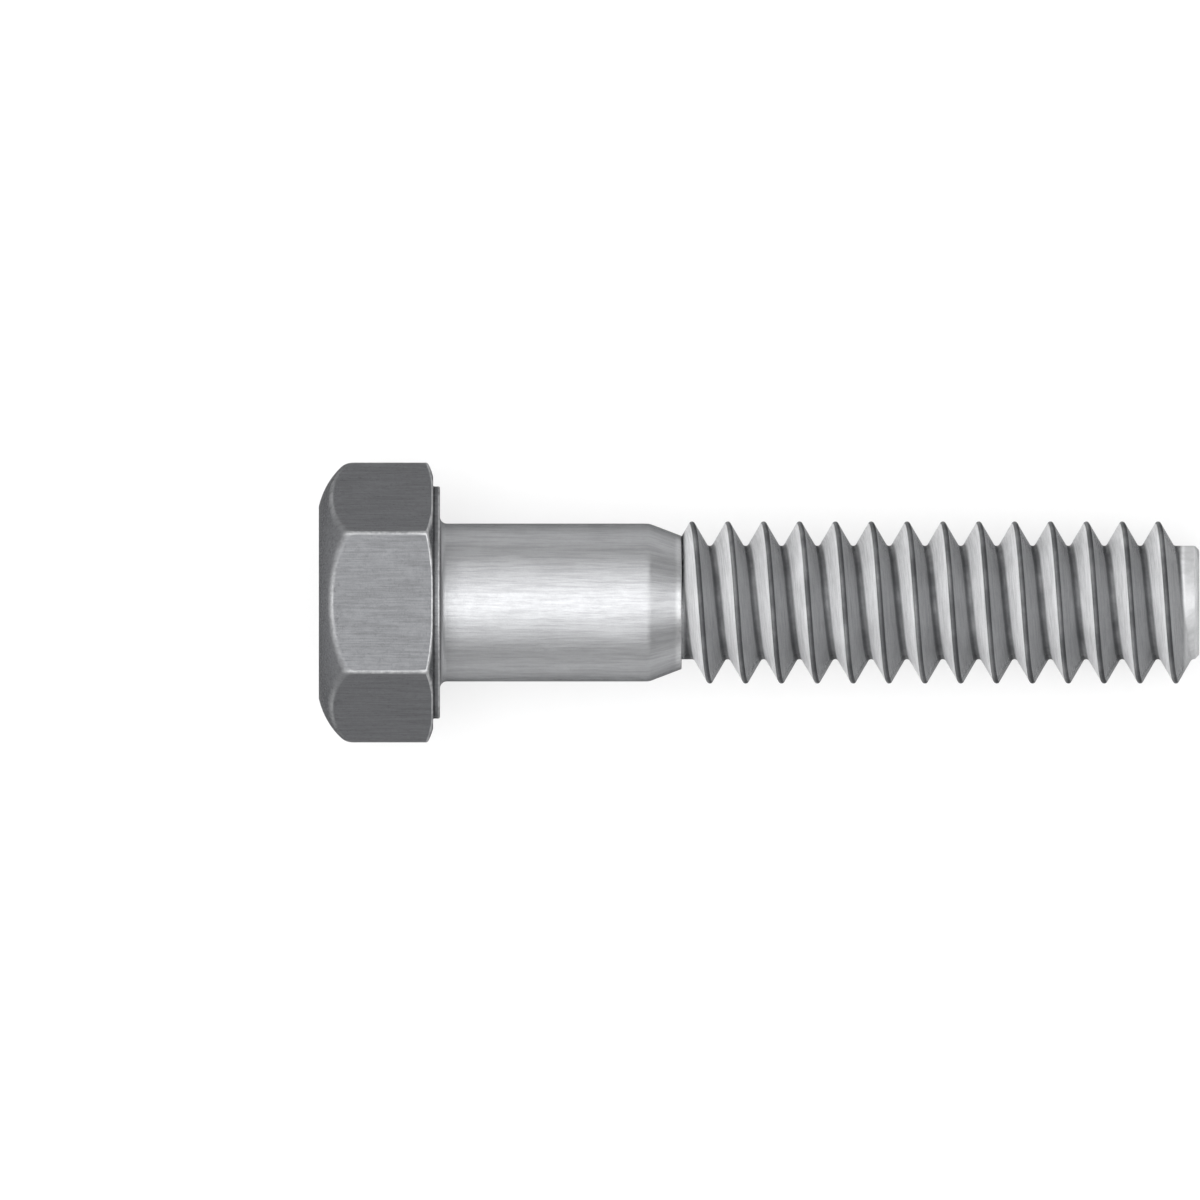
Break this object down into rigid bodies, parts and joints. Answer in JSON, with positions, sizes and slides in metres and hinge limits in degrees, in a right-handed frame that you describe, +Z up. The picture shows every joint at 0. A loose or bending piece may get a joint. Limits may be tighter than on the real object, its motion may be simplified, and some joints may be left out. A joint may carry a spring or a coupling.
{
  "type": "hex head cap screw",
  "caption": "Hex head cap screw with a crowned head, washer face, plain body, short taper, coarse right-hand thread and plain stub tip, lying on one flat of its head.",
  "frame": {"origin": "on the ground, under the middle of the lying screw's outer box", "axes": "+Z up; +X along the screw from head to tip, which points 3.3 degrees below the level because the screw rests on its head and on a thread crest; two corners of the hexagon point along +Y and -Y"},
  "size_m": [0.052, 0.0166, 0.0146],
  "materials": {
    "steel": "neutral steel: dull grey forged head with finely rubbed edges, satin drawn body, lighter rolled thread with a dark seam on its crests"
  },
  "bodies": {
    "root": {"cap_screw": "steel"}
  },
  "joints": []
}
